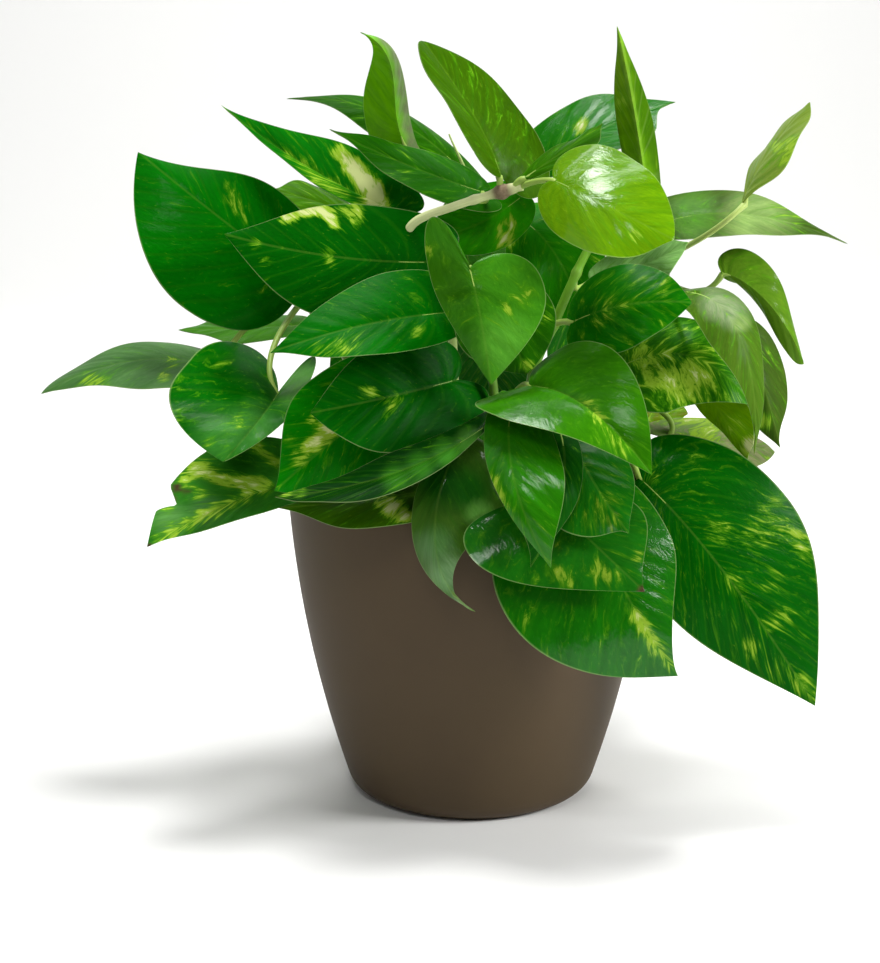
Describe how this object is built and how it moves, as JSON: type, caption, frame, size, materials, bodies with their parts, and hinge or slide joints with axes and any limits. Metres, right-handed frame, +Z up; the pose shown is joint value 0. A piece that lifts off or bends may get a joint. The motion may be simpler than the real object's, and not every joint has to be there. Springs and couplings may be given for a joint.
{
  "type": "potted pothos plant",
  "caption": "Leafy pothos plant with heart-shaped, streaked leaves on arching stalks, growing in soil in a round tapered plastic planter.",
  "frame": {"origin": "middle of the planter's flat base, on the surface that it stands on", "axes": "+Z up along the planter, +X to the right and +Y away from the viewer in the picture"},
  "size_m": [0.3852, 0.2562, 0.3757],
  "materials": {
    "planter_plastic": "matt brown-grey moulded plastic",
    "soil": "loose dark potting soil",
    "stem_green": "smooth pale green stem",
    "leaf_dark": "waxy dark green leaf with yellow streaks",
    "leaf_green": "waxy green leaf with cream streaks",
    "leaf_light": "waxy bright green leaf",
    "leaf_young": "glossy yellow-green young leaf"
  },
  "bodies": {
    "root": {"pot": "planter_plastic", "potting_soil": "soil", "stem_main": "stem_green", "stem_right": "stem_green", "stem_left": "stem_green", "stem_centre": "stem_green", "stem_front_right": "stem_green", "stem_back_right": "stem_green", "stem_front_left": "stem_green", "stem_back": "stem_green", "leaf_top_curl": "leaf_light", "leaf_top_mid": "leaf_light", "leaf_top_tall": "leaf_light", "leaf_front_bright": "leaf_young", "leaf_top_back_right": "leaf_green", "leaf_top_shaded": "leaf_dark", "leaf_right_tip": "leaf_light", "leaf_right_upper": "leaf_green", "leaf_right_hook": "leaf_light", "leaf_right_droop": "leaf_light", "leaf_right_back": "leaf_dark", "leaf_right_inner": "leaf_green", "leaf_right_pale": "leaf_light", "leaf_right_small": "leaf_light", "leaf_right_streaked": "leaf_green", "leaf_front_right_big": "leaf_dark", "leaf_front_middle": "leaf_light", "leaf_centre_heart": "leaf_light", "leaf_centre_behind": "leaf_green", "leaf_left_middle": "leaf_light", "leaf_left_upper": "leaf_dark", "leaf_left_big": "leaf_dark", "leaf_left_streaked": "leaf_green", "leaf_upper_dark": "leaf_dark", "leaf_top_back_left": "leaf_green", "leaf_left_far": "leaf_green", "leaf_left_round": "leaf_green", "leaf_left_fold": "leaf_green", "leaf_middle_dark": "leaf_dark", "leaf_left_low": "leaf_light", "leaf_left_torn": "leaf_light", "leaf_rim_left": "leaf_green", "leaf_left_under": "leaf_green", "leaf_droop_left": "leaf_dark", "leaf_droop_centre": "leaf_green", "leaf_droop_behind": "leaf_dark", "leaf_front_inner": "leaf_green", "leaf_front_low": "leaf_green", "leaf_front_low_big": "leaf_green", "leaf_centre_right": "leaf_dark", "leaf_inner_dark": "leaf_dark", "leaf_inner_top": "leaf_green", "leaf_inner_streaked": "leaf_green", "leaf_left_yellow": "leaf_light", "leaf_back_middle": "leaf_green", "leaf_back_left": "leaf_dark", "leaf_back_right": "leaf_green", "leaf_back_top": "leaf_light", "leaf_back_low_left": "leaf_dark", "leaf_back_low_right": "leaf_green"}
  },
  "joints": []
}
